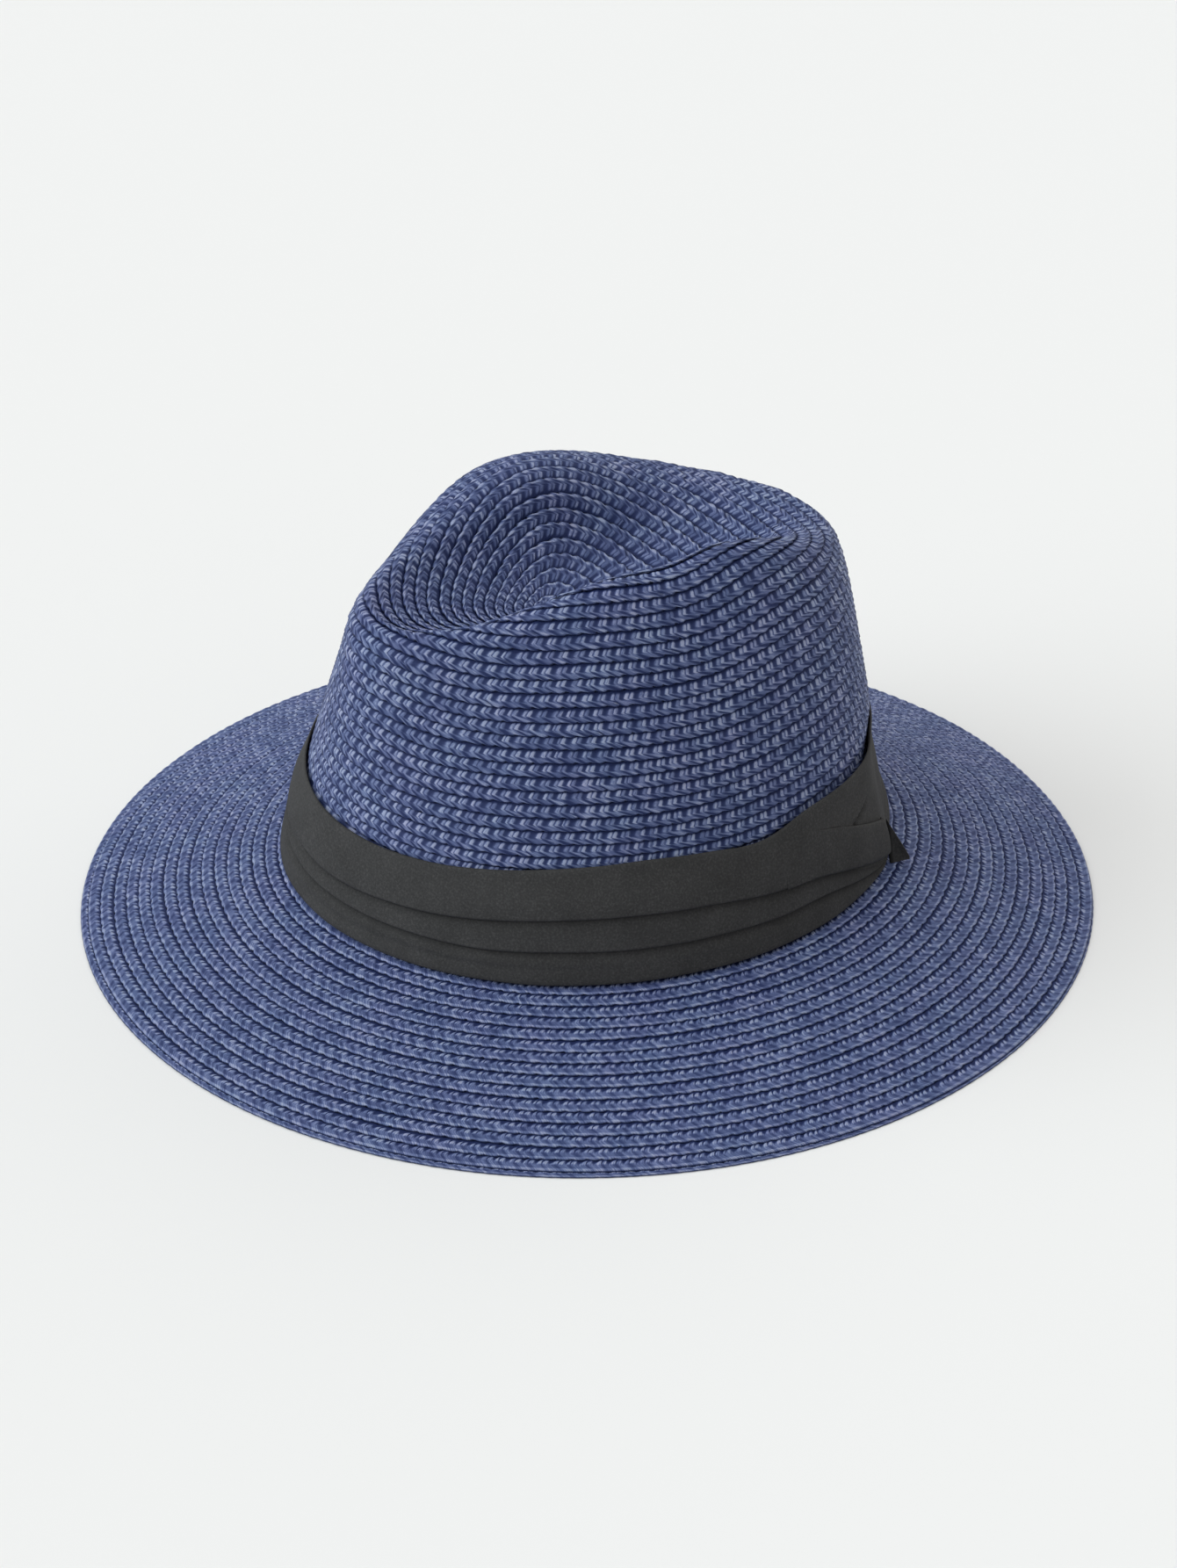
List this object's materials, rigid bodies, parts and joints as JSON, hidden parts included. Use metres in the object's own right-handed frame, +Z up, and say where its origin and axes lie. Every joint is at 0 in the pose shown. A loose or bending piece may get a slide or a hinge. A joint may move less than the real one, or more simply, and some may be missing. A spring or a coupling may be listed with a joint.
{
  "type": "fedora hat",
  "caption": "Navy sun fedora of sewn paper braid with a creased teardrop crown, sloping brim and a pleated charcoal cloth band that is folded over and knotted off at one side.",
  "frame": {"origin": "middle of the brim edge, on the surface the hat stands on", "axes": "+Z up through the crown, -Y the hat's front, +X the wearer's left"},
  "size_m": [0.318, 0.332, 0.138],
  "materials": {
    "braid": "matte twisted paper braid",
    "band_cloth": "matte cotton",
    "ribbon": "matte woven ribbon",
    "thread": "matte thread"
  },
  "bodies": {
    "root": {"crown_braid": "braid", "brim_braid": "braid", "hat_band": "band_cloth", "band_knot": "band_cloth", "band_tail": "band_cloth", "sweatband": "ribbon", "sweatband_stitching": "thread", "band_tack_front": "thread", "band_tack_back": "thread", "band_tack_left": "thread", "band_tack_right": "thread"}
  },
  "joints": []
}
